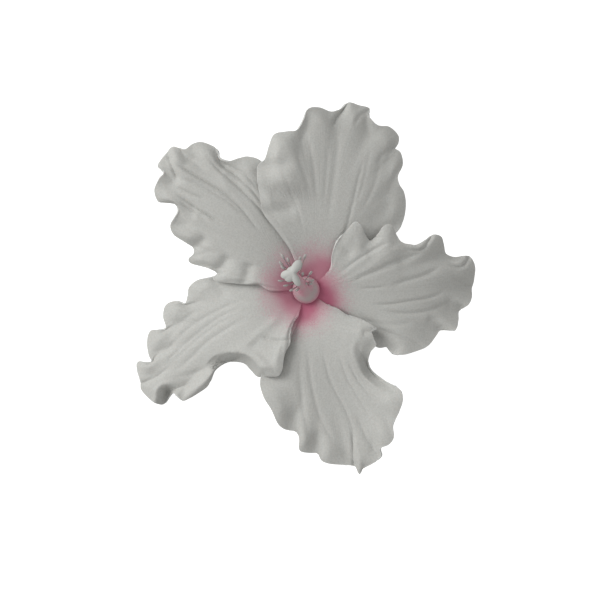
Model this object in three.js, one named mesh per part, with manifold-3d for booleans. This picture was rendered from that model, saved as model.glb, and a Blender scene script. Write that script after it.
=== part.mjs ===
// A hibiscus flower picked just under its calyx and lying face up: five frilled petals, each lapping
// over the next round a short staminal column, with a three-lobed stigma at the column's tip, and a
// green calyx and epicalyx underneath. Millimetres, +Z up. The origin is on the flower's axis, at the
// level of the surface that the flower rests on. Bearings are degrees from +X, anticlockwise from above.
import * as THREE from "three";
import { mergeVertices } from "three/addons/utils/BufferGeometryUtils.js";
import Module from "manifold-3d";

const wasm = await Module();
wasm.setup();

// ---- Driving dimensions

const PETAL_COUNT = 5;
const PETAL_TURN = 360 / PETAL_COUNT;
const FIRST_BEARING = 73; // of the first petal; the others follow clockwise

const CLAW_RADIUS = 4.45; // where the petals' narrow feet, their claws, stand round the column
const CLAW_HALF_ANGLE = 33.2; // keeps neighbouring claws just apart
const CLAW_TOP_RADIUS = 8.5; // from here outwards the petals lap over each other
const CLAW_THICKNESS = 0.9;
const MARGIN_THICKNESS = 0.75;

const THROAT_HEIGHT = 10.5; // of the claws' feet above the surface
const THROAT_RISE = 5.5; // from the claws' feet to the flat of the petals
const THROAT_FLARE = 6; // how quickly the funnel opens
const LAP_RISE = 2; // how far a petal's upper side stands over its neighbour's lower side
const LAP_SPREAD = 2.4;

// How far the corolla stands above its plain funnel at STAND_RADIUS: from the joint between the top and
// right petals anticlockwise, at each joint and each petal's middle.
const STANDS = [0, 3, 4.6, 1.5, -6.9, -3.8, 0, -2.6, 3.4, -1.2];
const STAND_RADIUS = 40;
const STAND_START = 36; // radius from which it stands so in full

const NOD_START = 18; // radius at which the petals begin to arch down
const NOD_SPAN = 42;

const FRILL_HEIGHT = 1.25; // scales the lifts in the margins below
const FRILL_FADE = 0.8; // how quickly frills die away inwards: 0 not at all, 1 as in a stretched skin
const ROLL_DEPTH = 4.5; // how far in from the margin a rolled-over stretch begins
const RIM_CURL = 0.5; // how far a frill's crest turns down at its rim, as a share of its height
const RIB_COUNT = 62; // ribs fan out from a claw's foot to the margin
const NET_ROWS = 16;
const NET_PASSES = 80;
const ROWS = [0, 0.08, 0.18, 0.32, 0.5, 0.67, 0.81, 0.92, 1]; // shares of a rib with a row of vertices
const PLEAT_WIDTH = 0.016; // as a share of the margin

const BULB_TOP = 14.5; // of the swollen foot of the staminal column
const COLUMN_TOP = 29;
const COLUMN_LEAN = 6.8; // how far the column's tip stands off the axis
const COLUMN_BEARING = 129;
const FILAMENT_RADIUS = 0.27;
const ANTHER_LENGTH = 1.5;
const ANTHER_WIDTH = 1;

const CALYX_FLOOR = 2.3;
const CALYX_HALF_WALL = 0.4;
const CALYX_CUP_RADIUS = 7.2; // where the sepals part
const SEPAL_REACH = 13.4;
const BRACT_COUNT = 7;
const BRACT_LENGTH = 9.5;
const SPOT_RADIUS = 3.8; // of the flat underside that the flower rests on
const SEAT_GAP = 0.3; // between pieces that touch

// ---- Petals
// `margin` follows a petal's edge from its upper side, over the tip, to the side tucked under the next
// petal. Each entry is a crest, a dip or a turn of the frilled edge: bearing, reach from the axis, lift
// above or below the petal's plain surface and, where the margin rolls over, how far it turns down.
// `nod` is how far the tip arches down, and `pleats` are the grooves that run from the throat to the
// margin: place along the margin, and depth.

const PETALS = [
  {
    name: "petal_top", nod: 17,
    margin: [
      [107.3, 8.5, 0], [112, 14, 0.3], [117, 22, 0.6], [119, 28, 0], [115.5, 34, 1.6],
      [111.8, 41.5, 1.8], [107.5, 43.2, -1.2], [104.2, 47, -0.8], [101.5, 50, 0.8], [97, 50.3, 2.2],
      [93.3, 50.7, 0], [91, 54, -1.6], [89.5, 57.5, -0.8], [86, 58.3, 1], [82, 57.5, 1.4],
      [79.3, 59.2, -1.6, 1.5], [77.4, 61.8, -0.6], [74, 61.8, 2], [70.8, 62, 1], [70, 59.5, -1.8],
      [66.5, 57.8, -1.5], [63, 59, 0.5], [59.3, 58, 2], [57.8, 55.5, 1], [58, 53.7, -2.2, 0.5],
      [55.5, 53.5, -0.6], [52.5, 50.8, 2], [51, 46.8, -1], [48.5, 45, -1.8], [45, 44.2, 0.5],
      [40.5, 41.8, 2], [35.5, 38, 1], [32.5, 34, -1], [34, 26, -1], [36, 17, -0.5], [38.7, 8.5, 0],
    ],
    pleats: [[0.36, 0.5], [0.42, 0.5], [0.48, 0.4], [0.55, 0.5], [0.61, 0.6], [0.66, 0.5], [0.71, 0.6]],
  },
  {
    name: "petal_right", nod: 16.5,
    margin: [
      [35.3, 8.5, 0], [43, 11, 0.4], [53, 13.5, 0.8], [57.7, 18.4, 1.2], [55.3, 23.2, 0.6],
      [54.6, 26.3, 1.6], [50.5, 26.8, 2.2], [43, 25.4, 0.2], [37, 25.6, -0.4], [37.6, 28.8, 0.8],
      [39.4, 32, 2.6], [37, 33.9, 3], [31.5, 33.4, 1.4], [26.4, 33.9, 1.6], [22.8, 36.8, 1.8],
      [22, 39.4, 1.6], [23.5, 43.8, 2.6], [21.7, 46.2, 2.4], [18.5, 46.3, 1], [14.6, 46.3, -1.6],
      [12.3, 48.8, -1.2], [12.1, 51.8, 0.6], [11.5, 53.8, 2.2], [8, 54.8, 2.4], [3.8, 54.3, 0.4],
      [0.3, 53.5, -1.6], [-2.3, 53.5, 0], [-5, 52.6, 1.6], [-7.8, 49.7, -1.8], [-11.5, 49.8, 0.2],
      [-15.2, 49.3, 1.6], [-16.3, 45.2, -1.6], [-19.5, 44, -0.6], [-25, 42.5, 1.2], [-31, 38.8, 1.4],
      [-35.2, 34.5, -0.6], [-36.5, 30.5, -2], [-38, 26, -1.5], [-37, 18, -0.8], [-33.3, 8.5, 0],
    ],
    pleats: [[0.36, 0.5], [0.42, 0.5], [0.48, 0.5], [0.54, 0.5], [0.6, 0.6], [0.66, 0.5], [0.72, 0.5]],
  },
  {
    name: "petal_bottom", nod: 2,
    margin: [
      [-36.7, 8.5, 0], [-30.5, 11.5, 0.4], [-31.5, 15, 0.8], [-28.6, 19, 1], [-28.4, 23.2, 1.8],
      [-29.2, 25.3, 2.6], [-32.5, 24.6, 1.4], [-36, 26.5, 0.6], [-38.4, 28.2, -0.4],
      [-43.5, 28.3, -1.6, 0.8], [-49.5, 30.3, -1.8, 2.2], [-51, 33.5, -1.8, 2.4], [-49, 38.4, -1.2, 1],
      [-46.8, 42.4, 0.4], [-48, 45.6, 2], [-52.5, 48.3, 1.8], [-57.3, 50.9, -1.2], [-59, 54, 0.4],
      [-61.5, 55.4, 1.8], [-64.8, 55.6, -0.8], [-65.6, 58, -1.8], [-69, 59.1, 0.2], [-72.4, 59.7, 0.8],
      [-73.8, 61, 1.6], [-74.4, 58.4, -1.4], [-78, 57, 0], [-82.5, 55.7, 1.4], [-84.8, 54.5, 0.8],
      [-86, 52.3, -1.6], [-89, 51.9, -0.6], [-92.3, 51, 1.6], [-92.6, 47.6, 0.4], [-94, 45.3, -1.6],
      [-98.5, 44.8, -1.2], [-102, 43.3, 0.8], [-106, 39.6, 1], [-112, 36.2, 0.2], [-117, 32, -1],
      [-117, 26, -1.4], [-112, 17, -0.8], [-105.3, 8.5, 0],
    ],
    pleats: [[0.3, 0.5], [0.38, 0.6], [0.45, 0.6], [0.52, 0.6], [0.59, 0.5], [0.66, 0.5], [0.72, 0.5]],
  },
  {
    name: "petal_lower_left", nod: 6.5,
    margin: [
      [251.3, 8.5, 0], [250.5, 12, 0.4], [252, 15, 0.8], [253.5, 18.5, 1.6], [251.6, 20.5, 0.6],
      [252.3, 23.5, 1.2], [253.2, 26.5, 1.8], [251.6, 28.6, 1.6], [245.5, 29.9, 0],
      [241, 31.4, -0.8, 0.6], [235.5, 30.8, -1, 2.4], [229.4, 30.5, -1.2, 3], [223.5, 33, -1.4, 3],
      [220.2, 36.4, -1.4, 1.6], [221.6, 39.4, -0.8], [224.2, 43.4, 1.2], [223.4, 48.2, 1.8],
      [222.6, 51.4, 1], [221.8, 53.2, -0.4], [218.8, 53.6, -2.4], [217.6, 54.6, -1.6, 2.6],
      [218.8, 58.6, -0.8, 1.4], [216.4, 60.8, 0.6], [211.5, 62, 1], [208.8, 61, -1], [205.2, 60.2, 1.2],
      [203.2, 58.8, 2.2], [205.2, 54.9, -1.6], [202.5, 54.7, 0], [198, 53.7, 1.8], [194.7, 51.5, 1.4],
      [195.3, 46.8, -1.4], [190.5, 46.6, 1.4], [186.2, 45.2, 1.8], [184.8, 41.8, 0.6],
      [186.4, 39, -1.6], [183, 37.9, 0.8], [178.6, 37.3, 1.6], [174.6, 34.6, 1.4], [172.8, 30.4, -0.4],
      [172.5, 25, -1.6], [175, 17, -1], [178, 12, -0.9], [183, 8.5, 0],
    ],
    pleats: [[0.36, 0.5], [0.42, 0.5], [0.48, 0.6], [0.54, 0.6], [0.6, 0.5], [0.66, 0.4]],
  },
  {
    name: "petal_upper_left", nod: 2,
    margin: [
      [179.3, 8.5, 0], [179.5, 12, 0.6], [172.4, 15, 0.8], [174.2, 19, 0.4], [174.5, 24, 0.6],
      [174, 28, 1], [173, 29.8, 2], [169.6, 28.8, 1.8], [167.8, 30.2, 0.4], [167.1, 34, 0.2],
      [166.7, 37.6, 1.8], [165, 38.6, 2.2], [162, 37.5, -0.4], [159.5, 38.4, -1.8], [158.1, 42, 0],
      [157, 45.7, 1.4], [154.4, 47.7, 1], [151.4, 47.6, -0.6], [148.2, 47.7, -2], [146.6, 49.6, -1.4],
      [148.2, 52.8, 0.6], [148.9, 54.8, 1.6], [146.5, 57.5, 2], [143, 58.3, 0.6], [140.5, 58.3, -1.6],
      [140.3, 60.9, 0.8], [138.4, 61.6, 1.8], [135.4, 61.8, 1.6], [132.8, 61.7, 1], [130.9, 58.8, -1.4],
      [128, 58.4, 0.6], [125.4, 57.2, 1.8], [122.8, 53.8, 1.4], [122.3, 51.8, -0.6],
      [123.2, 49.8, -1.8], [121, 47.5, -1.2], [117, 46.7, 0.6], [113.5, 45.9, 1], [109.5, 43.4, 0],
      [106, 38, -0.8], [105, 28, -1], [107, 17, -0.6], [110.7, 8.5, 0],
    ],
    pleats: [[0.4, 0.5], [0.46, 0.5], [0.52, 0.4], [0.58, 0.6], [0.64, 0.6], [0.69, 0.6], [0.73, 0.5]],
  },
];

PETALS.forEach((petal, index) => {
  petal.bearing = FIRST_BEARING - index * PETAL_TURN;
});

// ---- Small helpers

const radians = THREE.MathUtils.degToRad;
const smoothstep = THREE.MathUtils.smoothstep;
const onCircle = (bearing, radius) =>
  new THREE.Vector2(Math.cos(radians(bearing)), Math.sin(radians(bearing))).multiplyScalar(radius);

// A solid sheet: `grid` holds the points of its middle surface, and `thicknessAt(row)` its thickness.
function sheetSolid(grid, thicknessAt) {
  const rows = grid.length;
  const columns = grid[0].length;
  const positions = [];
  for (const side of [1, -1]) {
    for (let i = 0; i < rows; i++) {
      for (let j = 0; j < columns; j++) {
        const along = grid[Math.min(i + 1, rows - 1)][j].clone().sub(grid[Math.max(i - 1, 0)][j]);
        const across = grid[i][Math.min(j + 1, columns - 1)].clone().sub(grid[i][Math.max(j - 1, 0)]);
        const normal = across.cross(along).normalize();
        positions.push(...grid[i][j].clone().addScaledVector(normal, (side * thicknessAt(i)) / 2).toArray());
      }
    }
  }
  const index = [];
  const upper = (i, j) => i * columns + j;
  const lower = (i, j) => rows * columns + upper(i, j);
  for (let i = 0; i < rows - 1; i++) {
    for (let j = 0; j < columns - 1; j++) {
      const corners = [[i, j], [i, j + 1], [i + 1, j + 1], [i + 1, j]];
      const [a, b, c, d] = corners.map(([row, column]) => upper(row, column));
      const [e, f, g, h] = corners.map(([row, column]) => lower(row, column));
      index.push(a, b, c, a, c, d, e, g, f, e, h, g);
    }
  }
  const edge = [];
  for (let j = 0; j < columns - 1; j++) edge.push([0, j]);
  for (let i = 0; i < rows - 1; i++) edge.push([i, columns - 1]);
  for (let j = columns - 1; j > 0; j--) edge.push([rows - 1, j]);
  for (let i = rows - 1; i > 0; i--) edge.push([i, 0]);
  edge.forEach(([i, j], n) => {
    const [k, l] = edge[(n + 1) % edge.length];
    index.push(upper(i, j), lower(i, j), lower(k, l), upper(i, j), lower(k, l), upper(k, l));
  });
  const geometry = new THREE.BufferGeometry();
  geometry.setAttribute("position", new THREE.Float32BufferAttribute(positions, 3));
  geometry.setIndex(index);
  geometry.computeVertexNormals();
  return geometry;
}

// Joins closed geometries into one.
function fuse(geometries) {
  const solids = geometries.map((geometry) => {
    const bare = geometry.clone();
    bare.deleteAttribute("normal");
    bare.deleteAttribute("uv");
    const merged = mergeVertices(bare, 1e-4);
    const vertProperties = new Float32Array(merged.attributes.position.array);
    const triVerts = new Uint32Array(merged.index.array);
    return new wasm.Manifold(new wasm.Mesh({ numProp: 3, vertProperties, triVerts }));
  });
  const mesh = solids.reduce((whole, solid) => whole.add(solid)).getMesh();
  const geometry = new THREE.BufferGeometry();
  geometry.setAttribute("position", new THREE.Float32BufferAttribute(mesh.vertProperties, 3));
  geometry.setIndex([...mesh.triVerts]);
  geometry.computeVertexNormals();
  return geometry;
}

// Moves each vertex of a geometry by `move`, which changes the vector that it is given.
function warp(geometry, move) {
  const place = geometry.attributes.position;
  const point = new THREE.Vector3();
  for (let i = 0; i < place.count; i++) {
    point.fromBufferAttribute(place, i);
    move(point);
    place.setXYZ(i, point.x, point.y, point.z);
  }
  geometry.computeVertexNormals();
  return geometry;
}

// ---- Petal surface

// Height of the corolla's funnel, and the step between a petal and the one that it laps over.
const funnelHeight = (radius) =>
  THROAT_HEIGHT + THROAT_RISE * (1 - Math.exp(-(radius - CLAW_RADIUS) / THROAT_FLARE));
const lapStep = (radius) => LAP_RISE * (1 - Math.exp(-(radius - CLAW_RADIUS) / LAP_SPREAD));

// How far the corolla arches down at a bearing: a smooth blend from each petal to the next.
function nodAt(bearing) {
  const place = THREE.MathUtils.euclideanModulo((FIRST_BEARING - bearing) / PETAL_TURN, PETAL_COUNT);
  const index = Math.floor(place);
  const next = PETALS[(index + 1) % PETAL_COUNT];
  return THREE.MathUtils.lerp(PETALS[index].nod, next.nod, smoothstep(place - index, 0, 1));
}

// How far the corolla stands above its plain funnel at a bearing, on a smooth curve.
function standAt(bearing) {
  const turn = (bearing - FIRST_BEARING + PETAL_TURN / 2) / (PETAL_TURN / 2);
  const place = THREE.MathUtils.euclideanModulo(turn, STANDS.length);
  const index = Math.floor(place);
  const t = place - index;
  const [a, b, c, d] = [-1, 0, 1, 2].map((step) => STANDS[THREE.MathUtils.euclideanModulo(index + step, STANDS.length)]);
  return b + ((c - a) * t + (2 * a - 5 * b + 4 * c - d) * t ** 2 + (3 * b - a - 3 * c + d) * t ** 3) / 2;
}

// Height of a petal's plain surface over the point (x, y).
function plainHeight(petal, x, y) {
  const radius = Math.hypot(x, y);
  const bearing = THREE.MathUtils.radToDeg(Math.atan2(y, x));
  const off = THREE.MathUtils.euclideanModulo(bearing - petal.bearing + 180, 360) - 180;
  const nod = nodAt(bearing) * Math.max(0, (radius - NOD_START) / NOD_SPAN) ** 2;
  const stand = (standAt(bearing) * radius) / STAND_RADIUS * smoothstep(radius, CLAW_TOP_RADIUS, STAND_START);
  return funnelHeight(radius) + (lapStep(radius) * off) / PETAL_TURN + stand - nod;
}

// The petal's margin as evenly spaced points, the points of the claw's foot that their ribs start from,
// and how far each point of the margin is rolled over.
function outlineOf(petal) {
  const foot = Array.from({ length: RIB_COUNT + 1 }, (_, i) => {
    const { x, y } = onCircle(petal.bearing + CLAW_HALF_ANGLE * (1 - (2 * i) / RIB_COUNT), CLAW_RADIUS);
    return new THREE.Vector3(x, y, 0);
  });
  const knots = petal.margin.map(([bearing, reach, lift]) => {
    const { x, y } = onCircle(bearing, reach);
    return new THREE.Vector3(x, y, lift * FRILL_HEIGHT);
  });
  const curve = new THREE.CatmullRomCurve3(knots, false, "catmullrom", 0.5);
  curve.arcLengthDivisions = 40 * knots.length;
  const margin = curve.getSpacedPoints(RIB_COUNT);
  const rolls = margin.map((point, i) => {
    const place = curve.getUtoTmapping(i / RIB_COUNT) * (knots.length - 1);
    const knot = Math.min(Math.floor(place), knots.length - 2);
    const [from, to] = [knot, knot + 1].map((k) => petal.margin[k][3] ?? 0);
    return THREE.MathUtils.lerp(from, to, place - knot) + RIM_CURL * Math.max(0, margin[i].z / FRILL_HEIGHT);
  });
  return { foot, margin, rolls };
}

// Carries what is given along the margin inwards: broad waves reach far, and narrow ones die away soon.
// The result gives the value on rib i, at share v of the way from the foot to the margin.
function spreadInwards(values, fade) {
  const base = (i) => values[0].clone().lerp(values[RIB_COUNT], i / RIB_COUNT);
  const wave = (n, i) => Math.sin((Math.PI * n * i) / RIB_COUNT);
  const parts = Array.from({ length: RIB_COUNT - 1 }, (_, index) =>
    values.reduce((sum, value, i) =>
      sum.addScaledVector(value.clone().sub(base(i)), (2 / RIB_COUNT) * wave(index + 1, i)),
    new THREE.Vector3()),
  );
  return (i, v) => parts.reduce((sum, part, index) =>
    sum.addScaledVector(part, v ** ((index + 1) ** fade) * wave(index + 1, i)), base(i).multiplyScalar(v));
}

// Evens out a net of points inside its fixed edges, so that its ribs and rows don't cross.
function relax(net) {
  for (let pass = 0; pass < NET_PASSES; pass++) {
    for (let j = 1; j < net.length - 1; j++) {
      for (let i = 1; i < net[j].length - 1; i++) {
        const [before, here, after] = [net[j - 1], net[j], net[j + 1]];
        const along = after[i].clone().sub(before[i]).divideScalar(2);
        const across = here[i + 1].clone().sub(here[i - 1]).divideScalar(2);
        const skew = after[i + 1].clone().sub(after[i - 1]).sub(before[i + 1]).add(before[i - 1]);
        here[i] = new THREE.Vector3()
          .addScaledVector(here[i + 1].clone().add(here[i - 1]), along.lengthSq())
          .addScaledVector(after[i].clone().add(before[i]), across.lengthSq())
          .addScaledVector(skew, -along.dot(across) / 2)
          .divideScalar(2 * (along.lengthSq() + across.lengthSq()));
      }
    }
  }
}

// The petal's ribs in plan, as curves from the claw's foot to the margin.
function ribsOf(foot, margin) {
  const flat = margin.map(({ x, y }) => new THREE.Vector3(x, y, 0));
  const reach = spreadInwards(flat.map((point, i) => point.clone().sub(foot[i])), 1);
  const net = Array.from({ length: NET_ROWS + 1 }, (_, j) =>
    foot.map((point, i) => point.clone().add(reach(i, j / NET_ROWS))),
  );
  relax(net);
  return foot.map((_, i) => new THREE.CatmullRomCurve3(net.map((row) => row[i])));
}

function petalGeometry(petal) {
  const { foot, margin, rolls } = outlineOf(petal);
  const ribs = ribsOf(foot, margin);
  const lift = spreadInwards(margin.map(({ z }) => new THREE.Vector3(0, 0, z)), FRILL_FADE);
  const grid = ROWS.map((v) => ribs.map((rib, i) => {
    const { x, y } = rib.getPointAt(v);
    const fromMargin = Math.hypot(x - margin[i].x, y - margin[i].y);
    const roll = rolls[i] * Math.max(0, 1 - fromMargin / ROLL_DEPTH) ** 1.5;
    const groove = petal.pleats.reduce(
      (sum, [place, depth]) => sum + depth * Math.exp(-(((i / RIB_COUNT - place) / PLEAT_WIDTH) ** 2)),
      0,
    );
    const pleated = smoothstep(v, 0.2, 0.5) * (1 - smoothstep(v, 0.8, 1));
    return new THREE.Vector3(x, y, plainHeight(petal, x, y) + lift(i, v).z - roll - groove * pleated);
  }));
  return sheetSolid(grid, (row) => THREE.MathUtils.lerp(CLAW_THICKNESS, MARGIN_THICKNESS, ROWS[row]));
}

// ---- Staminal column, with its stamens

// Each stamen: height of its root on the column, place of its anther in plan, and how far it rises.
const STAMENS = [
  [17.6, 1.5, 1.9, 2.6], [18.2, -0.1, 1.9, 2.4], [18.8, 1.9, 2.9, 2.8], [19.4, -2.8, -0.1, 2.2],
  [20.0, 1.4, 5.2, 2.6], [20.6, -4.6, -0.1, 2.2], [21.2, -1.1, 4.9, 3.2], [21.8, -6.4, 1.3, 2.2],
  [22.6, -8, 2.8, 2], [23.4, -7.3, 6.9, 1.4], [24.2, -0.4, 10.3, 3.4], [25.0, -7.9, 8.2, 1.6],
  [25.8, -1.9, 9.6, 3], [26.6, -7.3, 10.3, 1.8], [27.2, -5.6, 9.2, 2.2],
];

// The column's axis leans further off the flower's the higher it goes.
function columnAxis(height) {
  const rise = Math.max(0, (height - BULB_TOP) / (COLUMN_TOP - BULB_TOP));
  const { x, y } = onCircle(COLUMN_BEARING, COLUMN_LEAN * rise ** 1.2);
  return new THREE.Vector3(x, y, height);
}

// A body of revolution about +Z from [radius, height] points.
function turned(profile, sides) {
  const geometry = new THREE.LatheGeometry(profile.map(([r, z]) => new THREE.Vector2(r, z)), sides);
  return geometry.rotateX(Math.PI / 2);
}

function columnGeometry() {
  const foot = CALYX_FLOOR + CALYX_HALF_WALL + SEAT_GAP;
  const profile = [
    [0, foot], [3.2, foot], [3.7, foot + 1.2], [3.6, 8.5], [3.72, 10.4], [3.95, 11.3], [4.25, 12.2],
    [4.4, 13.3], [4.2, 14.7], [3.6, 16], [2.8, 17.1], [2.15, 18.3], [1.8, 20], [1.5, 23.5], [1.25, 26.5],
    [1, COLUMN_TOP], [0, COLUMN_TOP],
  ];
  return warp(turned(profile, 16), (point) => point.add(columnAxis(point.z).setZ(0)));
}

// One filament with its anther, pointing outwards from the column.
function stamenGeometries([height, x, y, rise]) {
  const root = columnAxis(height);
  const run = new THREE.Vector3(x - root.x, y - root.y, rise);
  const middle = root.clone().addScaledVector(run, 0.5);
  const tip = root.clone().add(run);
  const turn = new THREE.Quaternion().setFromUnitVectors(new THREE.Vector3(0, 1, 0), run.clone().normalize());
  const filament = new THREE.CylinderGeometry(FILAMENT_RADIUS * 0.8, FILAMENT_RADIUS, run.length(), 5, 1)
    .applyQuaternion(turn)
    .translate(middle.x, middle.y, middle.z);
  const anther = new THREE.SphereGeometry(1, 8, 6)
    .scale(ANTHER_WIDTH / 2, ANTHER_LENGTH / 2, ANTHER_WIDTH / 2)
    .applyQuaternion(turn)
    .translate(tip.x, tip.y, tip.z);
  return [filament, anther];
}

// ---- Stigma

const STIGMA_LOBES = [
  { bearing: 51, reach: 4.3, width: 2.7 },
  { bearing: 202, reach: 3.7, width: 3.3 },
  { bearing: 298, reach: 4.2, width: 2.6 },
];

function stigmaGeometry() {
  const seat = columnAxis(COLUMN_TOP).setZ(COLUMN_TOP + SEAT_GAP);
  const base = turned([[0, 0], [1, 0], [1.25, 0.9], [1.1, 1.9], [0, 2.2]], 10).translate(...seat.toArray());
  const lobes = STIGMA_LOBES.map(({ bearing, reach, width }) =>
    new THREE.SphereGeometry(1, 10, 8)
      .rotateX(Math.PI / 2)
      .scale((reach + 1) / 2, width / 2, 0.85)
      .rotateY(radians(-14))
      .translate((reach - 1) / 2, 0, 1.9)
      .rotateZ(radians(bearing))
      .translate(...seat.toArray()),
  );
  return fuse([base, ...lobes]);
}

// ---- Calyx and epicalyx

// Height of the sepals' middle surface: close under the petals' funnel, then falling away from it.
function sepalHeight(radius) {
  const slope = (THROAT_RISE / THROAT_FLARE) * Math.exp(-(radius - CLAW_RADIUS) / THROAT_FLARE);
  const stack = CLAW_THICKNESS / 2 + SEAT_GAP + CALYX_HALF_WALL;
  const away = 0.28 * Math.max(0, radius - CALYX_CUP_RADIUS);
  return funnelHeight(radius) - lapStep(radius) / 2 - stack * Math.hypot(1, slope) - away;
}

function calyxGeometry() {
  const cup = [[0, CALYX_FLOOR], [3.8, CALYX_FLOOR], [4.9, 3.4]];
  const wall = [5.6, CALYX_CUP_RADIUS, 8.6, 10.4, 12, SEPAL_REACH].map((r) => [r, sepalHeight(r)]);
  const middle = [...cup, ...wall].map(([r, z]) => new THREE.Vector2(r, z));
  const offset = (side) =>
    middle.map((point, i) => {
      const after = middle[Math.min(i + 1, middle.length - 1)];
      const before = middle[Math.max(i - 1, 0)];
      const run = after.clone().sub(before).normalize();
      const taper = THREE.MathUtils.lerp(1, 0.8, smoothstep(point.x, CALYX_CUP_RADIUS, SEPAL_REACH));
      const normal = i === 0 ? new THREE.Vector2(0, 1) : new THREE.Vector2(-run.y, run.x);
      return point.clone().addScaledVector(normal, side * CALYX_HALF_WALL * taper);
    });
  const profile = [...offset(-1), ...offset(1).reverse()].map(({ x, y }) => [x, y]);
  return warp(turned(profile, 10 * PETAL_COUNT), (point) => {
    const radius = Math.hypot(point.x, point.y);
    if (radius <= CALYX_CUP_RADIUS) return;
    const bearing = THREE.MathUtils.radToDeg(Math.atan2(point.y, point.x));
    const turn = THREE.MathUtils.euclideanModulo(bearing - FIRST_BEARING, PETAL_TURN) / PETAL_TURN;
    const lobe = (1 - Math.abs(2 * turn - 1)) ** 0.8; // 1 along a sepal's middle, 0 where two meet
    const drawn = CALYX_CUP_RADIUS + (radius - CALYX_CUP_RADIUS) * (0.06 + 0.94 * lobe);
    point.z += sepalHeight(drawn) - sepalHeight(radius);
    point.x *= drawn / radius;
    point.y *= drawn / radius;
  });
}

function bractGeometry(index) {
  const bearing = (index * 360) / BRACT_COUNT + 11;
  const along = onCircle(bearing, 1);
  const grid = [0, 0.25, 0.5, 0.75, 1].map((s) => {
    const middle = along.clone().multiplyScalar(2 + BRACT_LENGTH * s);
    const height = 0.8 + 3.7 * s * s;
    const halfWidth = 0.95 * (1 - 0.72 * s * s);
    return [1, 0, -1].map((side) => new THREE.Vector3(
      middle.x - along.y * halfWidth * side,
      middle.y + along.x * halfWidth * side,
      height + 0.25 * Math.abs(side),
    ));
  });
  return sheetSolid(grid, () => 0.7);
}

function epicalyxGeometry() {
  const top = CALYX_FLOOR - CALYX_HALF_WALL - SEAT_GAP;
  const stub = turned([[0, 0], [SPOT_RADIUS, 0], [4.1, 0.6], [4, top], [0, top]], 20);
  const bracts = Array.from({ length: BRACT_COUNT }, (_, index) => bractGeometry(index));
  return fuse([stub, ...bracts]);
}

// ---- Assembly

const petalFinish = new THREE.MeshStandardMaterial({ color: 0xb2b2ac, roughness: 0.75, metalness: 0 });
const columnFinish = new THREE.MeshStandardMaterial({ color: 0xb09598, roughness: 0.5, metalness: 0 });
const stigmaFinish = new THREE.MeshStandardMaterial({ color: 0xc8cac4, roughness: 0.6, metalness: 0 });
const greenFinish = new THREE.MeshStandardMaterial({ color: 0x7d9463, roughness: 0.7, metalness: 0 });

const flower = new THREE.Group();

function addPiece(name, geometry, finish) {
  const piece = new THREE.Mesh(geometry, finish);
  piece.name = name;
  flower.add(piece);
}

for (const petal of PETALS) addPiece(petal.name, petalGeometry(petal), petalFinish);

addPiece("staminal_column", fuse([columnGeometry(), ...STAMENS.flatMap(stamenGeometries)]), columnFinish);
addPiece("stigma", stigmaGeometry(), stigmaFinish);
addPiece("calyx", calyxGeometry(), greenFinish);
addPiece("epicalyx", epicalyxGeometry(), greenFinish);

export default flower;
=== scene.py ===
"""A hibiscus bloom, picked under its calyx and lying face up on a pale table.

Metres, +Z up, with the origin on the bloom's axis at the table. Bearings are degrees from +X,
anticlockwise as seen from above. The bloom's own sizes are written in millimetres.
"""
import math

import bmesh
import bpy
import numpy as np
from mathutils import Matrix, Vector


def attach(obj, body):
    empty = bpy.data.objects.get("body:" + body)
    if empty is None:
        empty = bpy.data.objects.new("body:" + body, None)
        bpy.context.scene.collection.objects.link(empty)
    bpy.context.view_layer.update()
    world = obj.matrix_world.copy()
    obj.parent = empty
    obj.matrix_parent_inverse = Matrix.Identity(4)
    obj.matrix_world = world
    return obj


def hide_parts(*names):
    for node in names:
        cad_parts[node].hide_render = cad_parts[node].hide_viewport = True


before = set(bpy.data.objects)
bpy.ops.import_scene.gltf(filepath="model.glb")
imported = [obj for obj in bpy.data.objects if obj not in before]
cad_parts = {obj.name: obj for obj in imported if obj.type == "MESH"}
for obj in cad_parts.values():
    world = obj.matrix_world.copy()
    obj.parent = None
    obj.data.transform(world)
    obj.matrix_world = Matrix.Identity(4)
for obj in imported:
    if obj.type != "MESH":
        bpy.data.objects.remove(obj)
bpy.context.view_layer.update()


# ---- Receptacle and epicalyx
# The swollen end of the flower stalk, cut off flush, with a whorl of narrow bracts round it. Both
# are green, a little leathery and faintly ribbed. The bloom rests on the flat scar underneath.

MM = 0.001
SPOT_RADIUS = 3.8
RECEPTACLE_PROFILE = [(0, 0), (SPOT_RADIUS, 0), (4.05, 0.35), (4.1, 0.8), (4.0, 1.6), (0, 1.6)]
BRACT_COUNT = 7
BRACT_BEARING = 11  # of the first bract
BRACT_FOOT = 2  # how far out a bract begins, inside the receptacle
BRACT_LEVEL = 0.8  # of its foot
BRACT_LENGTH = 9.5
BRACT_RISE = 3.7  # from its foot to its tip
BRACT_HALF_WIDTH = 0.95
BRACT_TROUGH = 0.25  # how far its sides stand up
BRACT_MIDRIB = 0.12  # how far its midrib stands up
BRACT_THICKNESS = 0.6


def on_circle(bearing, radius):
    """The point in plan at a bearing and a radius."""
    angle = math.radians(bearing)
    return Vector((radius * math.cos(angle), radius * math.sin(angle)))


def lerp(a, b, share):
    return a + (b - a) * share


def smoothstep(low, high, value):
    share = min(1.0, max(0.0, (value - low) / (high - low)))
    return share * share * (3 - 2 * share)


def new_piece(name, bm, material):
    """Turns a bmesh in millimetres into a smooth object that rides on the bloom."""
    bmesh.ops.scale(bm, vec=(MM, MM, MM), verts=bm.verts)
    mesh = bpy.data.meshes.new(name)
    bm.to_mesh(mesh)
    bm.free()
    mesh.shade_smooth()
    mesh.materials.append(material)
    piece = bpy.data.objects.new(name, mesh)
    bpy.context.scene.collection.objects.link(piece)
    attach(piece, "root")
    return piece


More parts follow.
